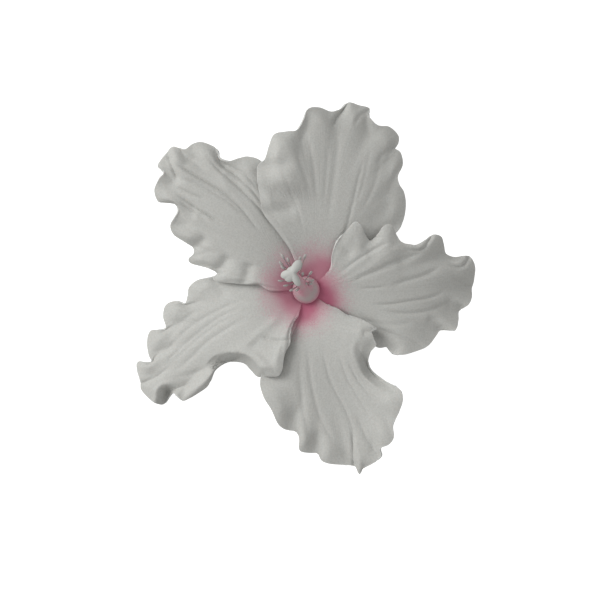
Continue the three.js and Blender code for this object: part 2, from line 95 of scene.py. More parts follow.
def add_modifier(piece, name, kind, **settings):
    modifier = piece.modifiers.new(name, kind)
    for setting, value in settings.items():
        setattr(modifier, setting, value)


def thicken(piece, thickness):
    """Gives a sheet its thickness, half of it on either side."""
    add_modifier(piece, "thickness", "SOLIDIFY", thickness=thickness * MM, offset=0)


def soften_edges(piece, width, least_angle=30):
    """Rounds the edges at which a piece turns by more than an angle in degrees."""
    limit = {"limit_method": "ANGLE", "angle_limit": math.radians(least_angle)}
    add_modifier(piece, "soft edges", "BEVEL", width=width * MM, segments=2, **limit)


def blade_grid(bm, columns, rows, place):
    """Adds a grid whose vertex at shares (u, v) of its width and length goes to place(u, v)."""
    bm.loops.layers.uv.verify()
    grid = bmesh.ops.create_grid(bm, x_segments=columns, y_segments=rows, size=0.5, calc_uvs=True)
    for vert in grid["verts"]:
        vert.co = place(vert.co.x + 0.5, vert.co.y + 0.5)


def spun(bm, profile, steps):
    """Spins a profile of (radius, height) pairs once round the axis."""
    verts = [bm.verts.new((radius, 0, height)) for radius, height in profile]
    edges = [bm.edges.new(pair) for pair in zip(verts, verts[1:])]
    bmesh.ops.spin(
        bm,
        geom=verts + edges,
        cent=(0, 0, 0),
        axis=(0, 0, 1),
        angle=2 * math.pi,
        steps=steps,
        use_merge=True,
    )
    bmesh.ops.remove_doubles(bm, verts=bm.verts, dist=0.001)
    bmesh.ops.recalc_face_normals(bm, faces=bm.faces)


class Shader:
    """A node tree that is built up by adding nodes and linking them."""

    def __init__(self, tree):
        self.tree = tree

    def add(self, kind, **inputs):
        return self.feed(self.tree.nodes.new(kind), **inputs)

    def feed(self, node, **inputs):
        """Links or sets inputs of a node: Base_Color by its name, and _6 by its number, 6."""
        for name, value in inputs.items():
            key = int(name[1:]) if name[0] == "_" else name.replace("_", " ")
            socket = node.inputs[key]
            if isinstance(value, bpy.types.NodeSocket):
                self.tree.links.new(value, socket)
            else:
                socket.default_value = value
        return node

    def math(self, operation, a, b=0.0, c=0.0):
        node = self.add("ShaderNodeMath", _0=a, _1=b, _2=c)
        node.operation = operation
        return node.outputs[0]

    def remap(self, value, low, high, to_low=0.0, to_high=1.0):
        node = self.add("ShaderNodeMapRange", _0=value, _1=low, _2=high, _3=to_low, _4=to_high)
        node.interpolation_type = "SMOOTHSTEP"
        return node.outputs[0]

    def blend(self, share, a, b):
        node = self.tree.nodes.new("ShaderNodeMix")
        node.data_type = "RGBA"
        self.feed(node, _0=share, _6=a, _7=b)
        return node.outputs[2]

    def noise(self, vector, scale, detail=3.0, roughness=0.5):
        node = self.add("ShaderNodeTexNoise", Vector=vector, Scale=scale)
        self.feed(node, Detail=detail, Roughness=roughness)
        return node.outputs["Fac"]

    def bump(self, height, strength, depth):
        """The normals of a surface with a fine relief of so many millimetres' depth."""
        node = self.add("ShaderNodeBump", Height=height, Strength=strength, Distance=depth * MM)
        return node.outputs[0]


def new_material(name):
    """A new material, a Shader that adds to its tree, and its Principled BSDF."""
    material = bpy.data.materials.new(name)
    material.use_nodes = True
    tree = material.node_tree
    shader = next(node for node in tree.nodes if node.type == "BSDF_PRINCIPLED")
    return material, Shader(tree), shader


def green_material(name, dark, light):
    """Matte green skin, mottled from dark to light, with a fine grain."""
    material, make, shader = new_material(name)
    place = make.add("ShaderNodeTexCoord").outputs["Object"]
    mottle = make.remap(make.noise(place, scale=260.0), 0.35, 0.7)
    grain = make.noise(place, scale=2600.0)
    make.feed(
        shader,
        Base_Color=make.blend(mottle, dark, light),
        Roughness=0.62,
        Normal=make.bump(grain, strength=0.35, depth=0.2),
    )
    return material


def bract_blade(bearing):
    """The surface of the bract at a bearing, from its foot to its tip."""

    def place(u, v):
        side = 2 * u - 1
        taper = (1 - 0.72 * v * v) * (1 - 0.75 * smoothstep(0.8, 1, v))
        out = on_circle(bearing, BRACT_FOOT + BRACT_LENGTH * v)
        x, y = out + on_circle(bearing + 90, BRACT_HALF_WIDTH * taper * side)
        trough = BRACT_TROUGH * abs(side)
        midrib = BRACT_MIDRIB * math.exp(-((side / 0.2) ** 2))
        return Vector((x, y, BRACT_LEVEL + BRACT_RISE * v * v + trough + midrib))

    return place


bract_green = green_material("bract green", (0.10, 0.17, 0.05, 1), (0.19, 0.28, 0.10, 1))

bm = bmesh.new()
spun(bm, RECEPTACLE_PROFILE, 48)
receptacle = new_piece("receptacle", bm, bract_green)
soften_edges(receptacle, 0.15)
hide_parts("epicalyx")

bm = bmesh.new()
for index in range(BRACT_COUNT):
    blade_grid(bm, 12, 24, bract_blade(BRACT_BEARING + index * 360 / BRACT_COUNT))
bracts = new_piece("epicalyx_bracts", bm, bract_green)
thicken(bracts, BRACT_THICKNESS)
soften_edges(bracts, 0.15)
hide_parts("epicalyx")


# ---- Calyx
# A leathery green cup with a pointed sepal behind each joint between two petals. It is grown from
# the receptacle in one piece and holds the petals' feet.

CALYX_FLOOR = 2.3
CALYX_CORNER = (3.7, 5.6)  # radii between which the floor curves up into the wall
CALYX_ROOM = 0.8  # depth of the layer under the petals that its wall lies in
CALYX_THICKNESS = 0.7
CALYX_CUP_RADIUS = 7.2
CALYX_POLE = 0.02  # radius of the innermost ring, which is merged to a point
WALL_START = 5.2  # radius from which the wall follows the petals
SEPAL_REACH = 13.4
SEPAL_JOINT = 0.06  # share of the sepals' length over which they stay joined
SEPAL_SLOPE = 0.28  # at which the sepals fall away from under the petals
SEPAL_RIB = 0.16
SEAT_GAP = 0.3

# The funnel of the petals, which the calyx follows from below.
PETAL_COUNT = 5
PETAL_TURN = 360 / PETAL_COUNT
FIRST_BEARING = 73  # of the top petal; the others follow clockwise
CLAW_RADIUS = 4.45
CLAW_THICKNESS = 0.9
THROAT_HEIGHT = 10.5
THROAT_RISE = 5.5
THROAT_FLARE = 6
LAP_RISE = 2
LAP_SPREAD = 2.4


def funnel_height(radius):
    """The height of the corolla's funnel, midway through the lapping petals."""
    return THROAT_HEIGHT + THROAT_RISE * (1 - math.exp(-(radius - CLAW_RADIUS) / THROAT_FLARE))


def lap_step(radius):
    """How far a petal stands over the next one at a radius."""
    return LAP_RISE * (1 - math.exp(-(radius - CLAW_RADIUS) / LAP_SPREAD))


def sepal_height(radius):
    """The height of the sepals, close under the lower sides of the petals."""
    slope = (THROAT_RISE / THROAT_FLARE) * math.exp(-(radius - CLAW_RADIUS) / THROAT_FLARE)
    stack = CLAW_THICKNESS / 2 + SEAT_GAP + CALYX_ROOM / 2
    away = SEPAL_SLOPE * max(0, radius - CALYX_CUP_RADIUS)
    return funnel_height(radius) - lap_step(radius) / 2 - stack * math.hypot(1, slope) - away


def calyx_point(u, v):
    """Round the cup with u, and out with v: the floor, the wall, and then the sepals."""
    bearing = 360 * u
    lobe = 1 - abs(2 * ((bearing - FIRST_BEARING) / PETAL_TURN % 1) - 1)
    reach = lerp(CALYX_CUP_RADIUS, SEPAL_REACH, lerp(SEPAL_JOINT, 1, lobe**0.8))
    radius = lerp(CALYX_POLE, reach, v)
    wall = sepal_height(max(radius, WALL_START))
    height = lerp(CALYX_FLOOR, wall, smoothstep(*CALYX_CORNER, radius))
    rib = SEPAL_RIB * math.exp(-(((lobe - 1) / 0.12) ** 2)) * smoothstep(4, 8, radius)
    x, y = on_circle(bearing, radius)
    return Vector((x, y, height - rib))


calyx_green = green_material("calyx green", (0.13, 0.21, 0.07, 1), (0.24, 0.33, 0.13, 1))

bm = bmesh.new()
blade_grid(bm, 180, 40, calyx_point)
bmesh.ops.remove_doubles(bm, verts=bm.verts, dist=0.004)
calyx = new_piece("calyx_cup", bm, calyx_green)
thicken(calyx, CALYX_THICKNESS)
soften_edges(calyx, 0.18)
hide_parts("calyx")


# ---- Petals
# Five soft, matte blades that grow from narrow claws inside the calyx. Each is grooved along its
# length and frilled at its margin, and its anticlockwise side lies over the next petal. The
# throat is sprayed with a raspberry blush that fades out in fine speckles.

PETAL_THICKNESS = 0.6
CLAW_HALF_ANGLE = 35.8
CLAW_TOP_RADIUS = 8.5  # beyond which the petals begin to stand
STAND_FULL_RADIUS = 36  # beyond which they stand in full
STAND_RADIUS = 40  # at which STANDS are given
NOD_START = 18  # radius at which they begin to arch down
NOD_SPAN = 42  # over which they come down by their whole nod
FRILL_HEIGHT = 1.35  # scales the lifts in the margins
FRILL_FADE = 0.75  # how quickly frills die away inwards: 0 not at all, 1 as in a stretched skin
CURL_DEPTH = 4.5  # how far in from the margin the frills begin to turn back
ROLL_DEPTH = 3  # how far in from the margin a rolled-over stretch begins
FOLD_ENDS = 0.25  # share of a fold over which it fades out at either end
TABLE_CLEARANCE = 0.45  # of the middle of the blade, where a rolled margin nears the table

RIB_COUNT = 372  # ribs fan out from the claw's foot to the margin
ROW_COUNT = 64
ROW_CROWDING = 1.3  # above 1, the rows crowd together towards the margin
NET_PASSES = 240
NET_PULL = 0.8  # how far towards its even place a point moves in one pass
CURVE_STEPS = 24  # points for each stretch of a smooth curve

PETAL_LIGHT = (0.515, 0.515, 0.49, 1)
PETAL_SHADE = (0.445, 0.445, 0.42, 1)
# A painted highlight: the lighter rim stands in for light caught by a petal's thin edge.
PETAL_RIM_HIGHLIGHT = (0.58, 0.58, 0.56, 1)
BLUSH_PALE = (0.52, 0.32, 0.355, 1)
BLUSH_DEEP_AND_GLOW = (0.32, 0.095, 0.145, 1)
BLACK = (0, 0, 0, 1)
RIM_HIGHLIGHT_START = 0.975  # share of a blade's length at which its lighter rim begins
VEIN_SCALE = (130, 4, 1)  # fine veins across a blade, and their waver along it

# Shares of the blush's reach: where it is full and where it ends, the same for its deep colour,
# and how far its edge drifts and is broken up into speckles.
BLUSH_FULL, BLUSH_END = 0.42, 1.05
DEPTH_FULL, DEPTH_END = 0.3, 0.75
BLUSH_DRIFT = 0.3
BLUSH_SPECKLE = 0.9

# How far the corolla stands above its plain funnel at STAND_RADIUS, from the joint between the
# top and right petals anticlockwise, at each joint and each petal's middle.
STANDS = [0, 3, 4.6, 1.5, -6.9, -3.8, 0, -2.2, 3.4, -2.4]

# `nod` is how far a petal's tip arches down, and `curl` how far its frills turn back at the very
# rim, as a share of their height. `blush` gives the reach, the centre in plan and the richness of
# the colour, which also sets how strongly the deep blush glows, a painted glow. `margin` follows
# the edge from a petal's upper side, over the tip, to the side that is tucked under the next
# petal: bearing, reach, lift above the petal's plain surface and, where the edge rolls over, how
# far it turns down. `folds` are grooves, and ridges where the depth is negative: depth, width and
# the path in plan.
PETALS = [
    {
        "name": "petal_top",
        "nod": 16,
        "curl": 1.2,
        # Its blush is centred off towards the right petal: the deep colour in the pocket under
        # that petal's edge is partly the pink's own colour and partly painted shade.
        "blush": (14.5, (5, 2.5), 0.6),
        "margin": [
            (109.5, 8.5, 0), (112, 14, 0.3), (117, 22, 0.6), (119, 28, -0.6), (115.5, 34, 1.2),
            (111.8, 41.5, -1), (107.5, 43.2, -0.4), (104.2, 47, 1.2), (101.5, 50, 1.6),
            (97, 50.3, 1.2), (93.3, 50.7, -1.2), (91, 54, -1.4), (89.5, 57.5, 0), (86, 58.3, 1.8),
            (82, 57.5, 1.4), (79.3, 59.2, -1.2, 1.2), (77.4, 61.8, 0.6), (74, 61.8, 1.8),
            (70.8, 62, 0.4), (70, 59.5, -1.6), (66.5, 57.8, -0.4), (63, 59, 1.4), (59.3, 58, 1.6),
            (57.8, 55.5, 0.6), (58, 53.7, -1.4, 0.5), (55.5, 53.5, 0.2), (52.5, 50.8, 1.4),
            (51, 46.8, -0.8), (48.5, 45, -1), (45, 44.2, 0.6), (40.5, 41.8, 1), (35.5, 38, 0.6),
            (32.5, 34, -1), (34, 26, -1), (36, 17, -0.5), (36, 8.5, 0),
        ],
        "folds": [
            (0.22, 0.8, (-3.2, 46), (-2.3, 41), (-0.3, 35.4), (1.5, 29)),
            (0.22, 0.9, (0.6, 49), (1.6, 43), (2.6, 36), (3.4, 27)),
            (0.12, 0.7, (6.8, 47), (6.6, 40), (6, 33), (5.2, 25)),
            (0.22, 1.1, (9.8, 52), (10, 46.4), (9, 37.5), (8, 30), (6.6, 20)),
            (0.28, 0.6, (18.8, 43), (16.7, 35.7), (15, 28.6), (12.6, 19), (11, 15)),
            (0.16, 0.6, (20.5, 46), (19.4, 40), (17.8, 33), (15.8, 27)),
            (0.2, 0.7, (23.8, 42), (21.5, 33), (17.5, 25)),
            (0.14, 0.7, (-8.6, 40), (-6.7, 35.4), (-4.6, 30.4), (-2.1, 24), (-0.8, 17)),
            (1.3, 0.7, (14.5, 61.5), (11.8, 57.6), (9.4, 54.6), (8, 51.4)),
            (0.6, 0.7, (22.5, 60), (19.6, 57.6), (17, 55.6), (15, 52)),
            (0.5, 0.9, (31, 47.5), (27.2, 45.2), (24, 42.6), (22.5, 39)),
            (1.1, 2.2, (-20, 39), (-14, 38.8), (-9, 39), (-3, 40)),
            (0.8, 2.2, (-19, 24), (-12.6, 24.4), (-7, 25.4), (-2, 27)),
            (0.5, 2.4, (-2.5, 54), (-1.5, 47), (-0.5, 41)),
            (0.5, 2.6, (28, 30), (24, 24.5), (19, 20)),
            (-3, 8.5, (-9, 29), (-7, 38), (-4, 52), (4, 78)),
            (2, 11, (29, 12), (33, 28), (32, 46), (22, 68)),
        ],
    },
    {
        "name": "petal_right",
        "nod": 13,
        "curl": 0.5,
        "blush": (12.5, (3, -2.5), 1),
        "margin": [
            (37.5, 8.5, 0), (43, 11, 0.4), (53, 13.5, 0.8), (57.7, 18.4, 1.2), (55.3, 23.2, 0.6),
            (54.6, 26.3, 1.1), (50.5, 26.8, 1.6), (43, 25.4, 0.2), (37, 25.6, -0.4),
            (37.6, 28.8, 0.6), (39.4, 32, 1.9), (37, 33.9, 2.3), (31.5, 33.4, 1.2),
            (26.4, 33.9, 1.6), (22.8, 36.8, 1.8), (22, 39.4, 1.6), (23.5, 43.8, 2.6),
            (21.7, 46.2, 2.4), (18.5, 46.3, 1), (14.6, 46.3, -1.6), (12.3, 48.8, -1.2),
            (12.1, 51.8, 0.6), (11.5, 53.8, 2.2), (8, 54.8, 2.4), (3.8, 54.3, 0.4),
            (0.3, 53.5, -1.6), (-2.3, 53.5, 0), (-5, 52.6, 1.6), (-7.8, 49.7, -1.8),
            (-11.5, 49.8, 0.2), (-15.2, 49.3, 1.6), (-16.3, 45.2, -1.6), (-19.5, 44, -0.6),
            (-25, 42.5, 1.2), (-31, 38.8, 1.4), (-34.2, 36.6, 0.8), (-36.6, 33.8, -0.6),
            (-35.2, 31.6, -1.6), (-38.6, 29.2, -1.4), (-39.5, 25, -1.4), (-37, 18, -0.8),
            (-36, 8.5, 0),
        ],
        "folds": [
            (0.36, 0.7, (9.5, 4.5), (17, 10), (22, 13), (27, 15.5)),
            (0.26, 0.6, (23, 7.2), (27, 8.8), (31, 10.8)),
            (0.44, 0.9, (13, 2.8), (20, 5.2), (28, 8.4), (34, 11), (40, 13.4)),
            (0.55, 0.9, (26, 1), (32, 3), (38, 4.8), (44, 8)),
            (0.3, 0.6, (17, 0.6), (21, 0.6), (26, 1)),
            (0.55, 0.6, (19.5, -4.8), (26, -4.6), (33, -3.6), (40, -2.2), (46, 0.5)),
            (0.6, 0.8, (22, -6.3), (29, -7.4), (36, -7.2), (42, -5.6), (48.5, -2)),
            (0.4, 0.8, (17, -8.6), (22.5, -10.6), (29, -11), (35, -10)),
            (0.6, 0.7, (21, -11.4), (26.3, -13.5), (33, -16), (38.5, -18.6)),
            (1.1, 2.2, (19, -13), (23.4, -15.6), (27, -18.6), (29, -21)),
            (1.8, 8, (28, -28), (41, -15), (50, -3), (57, 10)),
            (0.8, 0.6, (31, 13), (36.5, 13), (39, 15.6), (41, 19.5)),
            (0.8, 0.6, (44.5, 8.6), (49.5, 7.4), (51.8, 9.8), (53, 13.5)),
            (-0.5, 1.0, (32, 15), (36, 15), (38, 17), (39.5, 21)),
            (-0.5, 1.0, (46, 10.4), (49.4, 9.4), (51, 11.2), (51.5, 14)),
            (0.6, 1.8, (9.5, 17), (12, 14), (15, 10)),
            (0.8, 2.2, (22, 18), (21.5, 14.6), (18.5, 10.5)),
            (0.8, 2.6, (33, 14), (31.5, 11.5), (28, 8)),
            (0.6, 0.9, (54.5, 0), (51.5, 1.4), (49, 2.8), (46, 4)),
            (0.7, 1.6, (51, -6.5), (47.6, -4.8), (44, -4)),
            (0.7, 1.6, (43.5, -13.5), (41.2, -10.4), (38, -9)),
        ],
    },
    {
        "name": "petal_bottom",
        "nod": 2,
        "curl": 0.9,
        "blush": (13.5, (-2.5, -3), 1),
        "margin": [
            (-34.5, 8.5, 0), (-30.5, 11.5, 0.4), (-31.5, 15, 0.8), (-28.6, 19, 1),
            (-28.4, 23.2, 1.8), (-29.2, 25.3, 2.6), (-32.5, 24.6, 1.4), (-36, 26.5, 0.6),
            (-38.4, 28.2, -0.4), (-43.5, 28.3, -1.6, 0.8), (-49.5, 30.3, -1.8, 2.2),
            (-51, 33.5, -1.8, 2.4), (-49, 38.4, -1.2, 1), (-46.8, 42.4, 0.4), (-48, 45.6, 2),
            (-52.5, 48.3, 1.8), (-57.3, 50.9, -1.2), (-59, 54, 0.4), (-61.5, 55.4, 1.8),
            (-64.8, 55.6, -0.8), (-65.6, 58, -1.8), (-69, 59.1, 0.2), (-72.4, 59.7, 0.8),
            (-73.8, 61, 1.6), (-74.4, 58.4, -1.4), (-78, 57, 0), (-82.5, 55.7, 1.4),
            (-84.8, 54.5, 0.8), (-86, 52.3, -1.6), (-89, 51.9, -0.6), (-92.3, 51, 1.6),
            (-92.6, 47.6, 0.4), (-94, 45.3, -1.6), (-98.5, 44.8, -1.2), (-102, 43.3, 0.8),
            (-106, 39.6, 1), (-112, 36.2, 0.2), (-117, 32, -1), (-117, 26, -1.4),
            (-112, 17, -0.8), (-108, 8.5, 0),
        ],
        "folds": [
            (0.3, 0.9, (-2.4, -19), (-2, -26), (-1.6, -32), (-0.3, -41), (1, -46)),
            (0.3, 0.8, (0.4, -16), (1, -24.3), (2.2, -32), (4.2, -39.7), (7.4, -46), (9, -49)),
            (
                0.28, 0.7, (5, -16), (6.7, -25.6), (9.3, -32), (12.5, -37.8), (15, -44.8),
                (16, -49),
            ),
            (
                0.3, 0.6, (9.5, -19), (11.6, -24), (13.4, -28.6), (16.3, -33.3), (19.5, -38.4),
                (25, -45.5),
            ),
            (0.3, 0.55, (13, -22), (14.6, -25.2), (16.6, -28.8), (19.8, -32.8), (23, -36.4)),
            (0.3, 0.8, (15.5, -38), (17.6, -42.9), (19.5, -47.4), (22.4, -51.4), (24, -55)),
            (0.7, 0.6, (14.6, -44), (15, -49), (15.2, -54), (15.5, -60)),
            (
                -0.3, 0.8, (18.5, -12), (15.2, -17.6), (15.8, -22.4), (18.2, -26.9),
                (21.6, -30.2), (27, -33),
            ),
            (2.8, 3.8, (26, -9), (23, -16.5), (20.4, -21), (21, -26.5), (27, -31), (35, -33)),
            (-3.6, 10, (14, 0), (26, -13), (33, -34), (28, -50), (14, -64)),
            (-1.2, 6, (-8, -28), (-13, -34), (-12, -42), (-7, -50)),
            (0.6, 2.4, (-4, -48), (-4.4, -42), (-3, -36)),
            (0.6, 2.2, (2.4, -56), (3.2, -49.4), (4.4, -44)),
            (0.7, 1.5, (23.5, -12.5), (20, -13), (17, -13.4)),
        ],
    },
    {
        "name": "petal_lower_left",
        "nod": 6.5,
        "curl": 1.3,
        "blush": (15, (-2, 0.5), 0.65),
        "margin": [
            (253.5, 8.5, 0), (248.5, 11.5, 0.4), (250, 14.5, 0.8), (253.2, 18, 1.6),
            (251.2, 20.5, 0.6), (252, 23.5, 1.2), (253.2, 26.5, 1.8), (251.6, 28.6, 1.6, 0.8),
            (245.5, 29.9, 0.4, 2.4), (241, 31.4, -0.4, 4), (235.5, 30.8, -0.6, 5),
            (229.4, 30.5, -0.6, 5), (223.5, 33, -0.8, 5), (220.2, 36.4, -1.2, 3),
            (221.6, 39.4, -0.8), (224.2, 43.4, 1.2), (223.4, 48.2, 1.8), (222.6, 51.4, 1),
            (221.8, 53.2, -0.4), (218.8, 53.6, -2.4), (217.6, 54.6, -1.6, 2.6),
            (218.8, 58.6, -0.8, 1.4), (216.4, 60.8, 0.6), (211.5, 62, 1), (208.8, 61, -1),
            (205.2, 60.2, 1.2), (203.2, 58.8, 2.2), (205.2, 54.9, -1.6), (202.5, 54.7, 0),
            (198, 53.7, 1.8), (194.7, 51.5, 1.4), (195.3, 46.8, -1.4), (190.5, 46.6, 1.4),
            (186.2, 45.2, 1.8), (184.8, 41.8, 0.6), (186.4, 39, -1.6), (183, 37.9, 0.8),
            (178.6, 37.3, 1.6), (174.6, 34.6, 1.4), (172.4, 30.8, -0.4), (168.5, 26, -1.2),
            (166, 20, -1), (168, 14.5, -0.9), (174, 10.5, -0.4), (180, 8.5, 0),
        ],
        "folds": [
            (
                0.3, 0.7, (-17, -2), (-25, -5.2), (-31.5, -8.4), (-37.8, -12.6), (-43, -17.6),
                (-48, -23.5),
            ),
            (
                0.3, 0.7, (-19, -4.8), (-26, -8), (-32, -11.9), (-37.8, -16.7), (-43, -21.5),
                (-49, -28),
            ),
            (0.22, 0.6, (-31, -5.4), (-37.6, -8.4), (-41.5, -12), (-45.6, -18)),
            (
                0.3, 0.8, (-17, -7.4), (-25.4, -12.6), (-31.5, -16.6), (-37.1, -22.2),
                (-43.5, -27.4),
            ),
            (0.22, 0.6, (-21, -7.2), (-28, -11), (-34, -15.4), (-39.6, -20.2), (-45, -25)),
            (0.35, 0.9, (-43, -28.2), (-36.4, -26.7), (-31.6, -24.8), (-28, -20)),
            (-0.35, 1.2, (-6.5, -6.5), (-12.2, -11.7), (-16.2, -15), (-21, -19.6)),
            (0.6, 0.6, (-14.5, -14.6), (-9.6, -16.2), (-4, -15.6)),
            (-1.2, 1.6, (-24, -19), (-16.6, -21), (-12.6, -25), (-10, -30)),
            (-1.6, 5, (0, -10), (-3, -17), (-6, -25), (-9, -36)),
            (0.6, 0.7, (-57, -30), (-51.5, -29.6), (-47.4, -27.6), (-43, -24)),
            (3.2, 1.6, (-48.5, -43), (-45.6, -36), (-45, -32.6), (-45, -29.5)),
            (-0.8, 0.7, (-50, -41), (-48.4, -35), (-47.8, -31.8), (-44.6, -30.2), (-41, -31.6)),
            (0.6, 2.0, (-29.5, 4.5), (-27.6, 1), (-25, -3)),
            (0.6, 1.8, (-40, -3), (-37.8, -5.4), (-34.5, -8)),
            (0.6, 1.8, (-46.5, -12), (-44.2, -13.6), (-41, -15.6)),
            (0.6, 1.8, (-51.5, -23), (-48.4, -23.6), (-45, -24)),
        ],
    },
    {
        "name": "petal_upper_left",
        "nod": 2,
        "curl": 1.3,
        "blush": (15, (-1.5, 1.5), 0.5),
        "margin": [
            (181.5, 8.5, 0), (179.5, 12, 0.6), (172.4, 15, 0.8), (174.2, 19, 0.2),
            (174.5, 24, 0.8), (174, 28, 1), (173, 29.8, 1.6), (169.6, 28.8, 0.4),
            (167.8, 30.2, -0.8), (167.1, 34, 0.4), (166.7, 37.6, 1.6), (165, 38.6, 1.2),
            (162, 37.5, -0.8), (159.5, 38.4, -0.8), (158.1, 42, 1.2), (157, 45.7, 1.2),
            (154.4, 47.7, -0.4), (151.4, 47.6, -1.4), (148.2, 47.7, -0.8), (146.6, 49.6, 0.2),
            (148.2, 52.8, 1.4), (148.9, 54.8, 1.6), (146.5, 57.5, 0.6), (143, 58.3, -1.2),
            (140.5, 58.3, -0.8), (140.3, 60.9, 1), (138.4, 61.6, 1.6), (135.4, 61.8, 1.6),
            (132.8, 61.7, 0.8), (130.9, 58.8, -1.2), (128, 58.4, 0.6), (125.4, 57.2, 1.6),
            (122.8, 53.8, 1.2), (122.3, 51.8, -0.6), (123.2, 49.8, -1.6), (121, 47.5, -1),
            (117, 46.7, 0.6), (113.5, 45.9, 1), (109.5, 43.4, 0), (106, 38, -0.8), (105, 28, -1),
            (107, 17, -0.6), (108, 8.5, 0),
        ],
        "folds": [
            (
                1.0, 0.65, (-43, 40.4), (-38, 37.8), (-32.5, 34.6), (-25.5, 30.2), (-20, 25),
                (-14, 17.5),
            ),
            (0.6, 0.6, (-41, 35.8), (-35, 33.6), (-30, 31.2), (-24, 27.4), (-18, 21.5)),
            (
                0.6, 0.55, (-32.5, 44), (-28.6, 38.9), (-24.6, 35.3), (-19.4, 30.6), (-14, 24.9),
                (-9.5, 18.5),
            ),
            (0.6, 0.5, (-30, 42), (-26.4, 38.9), (-21.9, 35.9), (-16.9, 31.3), (-13.2, 26.4)),
            (0.5, 0.5, (-27, 41), (-22.2, 38), (-18.3, 35.3), (-14.8, 31)),
            (0.4, 0.5, (-23, 38.9), (-19.2, 36.8), (-16, 34.2), (-13.8, 30.8)),
            (0.8, 0.6, (-41.5, 30.6), (-36.6, 27.3), (-32.4, 24.4), (-25, 20)),
            (0.5, 0.6, (-40.4, 28), (-35.8, 25), (-31, 22)),
            (0.5, 0.5, (-42, 33), (-36, 30.2), (-31, 28.4)),
            (0.5, 1.4, (-38, 42.6), (-34.5, 40), (-30.5, 37), (-25, 33)),
            (1.2, 1.9, (-45, 43.5), (-43.4, 39.4), (-42, 36.4), (-39.4, 32.5)),
            (0.9, 0.6, (-44, 44), (-42.6, 40.2), (-41.5, 37.2), (-40, 34)),
            (0.8, 2.4, (-42.5, 24.5), (-38.6, 24.4), (-34, 23.6)),
            (1.3, 1.9, (-38.5, 11), (-34.4, 14.6), (-30.5, 16.8)),
            (1.2, 1.8, (-30, 4.4), (-26.6, 7.8), (-23.8, 11.5)),
            (0.9, 1.8, (-21, 0), (-18.8, 4.4), (-17.8, 9.5)),
            (0.6, 1.5, (-39.8, 46.5), (-38.6, 42.4), (-36.5, 38.5)),
            (0.6, 1.5, (-28.5, 45.5), (-27.4, 41), (-25, 37.5)),
        ],
    },
]


def nod_at(bearing):
    """How far the corolla arches down at a bearing: a smooth blend from each petal to the next."""
    place = (FIRST_BEARING - bearing) / PETAL_TURN % PETAL_COUNT
    index = int(place)
    after = PETALS[(index + 1) % PETAL_COUNT]
    return lerp(PETALS[index]["nod"], after["nod"], smoothstep(0, 1, place - index))


def curve_between(a, b, c, d, t):
    """The point a share t of the way from b to c, on the smooth curve through a, b, c and d."""
    bend = 2 * a - 5 * b + 4 * c - d
    sway = 3 * b - a - 3 * c + d
    return b + ((c - a) * t + bend * t**2 + sway * t**3) / 2


def stand_at(bearing):
    """How far the corolla stands above its plain funnel at a bearing, on a smooth curve."""
    place = (bearing - FIRST_BEARING + PETAL_TURN / 2) / (PETAL_TURN / 2) % len(STANDS)
    index = int(place)
    around = (STANDS[(index + step) % len(STANDS)] for step in (-1, 0, 1, 2))
    return curve_between(*around, place - index)


def plain_height(petal_bearing, x, y):
    """The height of a petal's plain surface, before frills and folds."""
    radius = math.hypot(x, y)
    bearing = math.degrees(math.atan2(y, x))
    off = (bearing - petal_bearing + 180) % 360 - 180
    nod = nod_at(bearing) * max(0, (radius - NOD_START) / NOD_SPAN) ** 2
    rise = radius / STAND_RADIUS * smoothstep(CLAW_TOP_RADIUS, STAND_FULL_RADIUS, radius)
    stand = stand_at(bearing) * rise
    return funnel_height(radius) + lap_step(radius) * off / PETAL_TURN + stand - nod


def smooth_curve(points):
    """Points along the smooth curve through the given ones, with both ends."""
    points = np.array(points, float)
    before = 2 * points[:1] - points[1:2]
    beyond = 2 * points[-1:] - points[-2:-1]
    points = np.concatenate([before, points, beyond])
    t = np.linspace(0, 1, CURVE_STEPS, endpoint=False)[:, None]
    stretches = zip(points, points[1:], points[2:], points[3:])
    fine = [curve_between(*stretch, t) for stretch in stretches]
    return np.concatenate([*fine, points[-2:-1]])


def margin_samples(knots):
    """Evenly spaced rows (x, y, lift, roll) along the smooth curve through a margin's knots."""
    points = []
    for bearing, reach, lift, *roll in knots:
        points.append((*on_circle(bearing, reach), lift * FRILL_HEIGHT, *(roll or [0])))
    fine = smooth_curve(points)
    steps = np.linalg.norm(np.diff(fine[:, :3], axis=0), axis=1)
    travel = np.concatenate([[0], np.cumsum(steps)])
    places = np.linspace(0, travel[-1], RIB_COUNT + 1)
    return np.stack([np.interp(places, travel, column) for column in fine.T], axis=1)


def fold_depth(plan, depth, width, path):
    """The depth, over a petal, of a fold that follows a path and fades out at both ends."""
    line = smooth_curve(path)
    nearest = np.full(plan.shape[:2], np.inf)
    share = np.zeros(plan.shape[:2])
    for index, point in enumerate(line):
        distance = ((plan - point) ** 2).sum(axis=2)
        nearer = distance < nearest
        nearest[nearer] = distance[nearer]
        share[nearer] = index / (len(line) - 1)
    ends = np.clip(np.minimum(share, 1 - share) / FOLD_ENDS, 0, 1)
    return depth * np.exp(-nearest / width**2) * ends**2 * (3 - 2 * ends)


def spread_inwards(values, shares, fade):
    """Carries values from the margin inwards, where broad waves reach further than narrow ones."""
    along = np.linspace(0, 1, RIB_COUNT + 1)
    order = np.arange(1, RIB_COUNT)
    waves = np.sin(math.pi * np.outer(order, along))
    base = values[0] + along[:, None] * (values[-1] - values[0])
    parts = 2 / RIB_COUNT * waves @ (values - base)
    fades = shares[:, None] ** (order**fade)
    return shares[:, None, None] * base + np.einsum("rk,kd,ki->rid", fades, parts, waves)


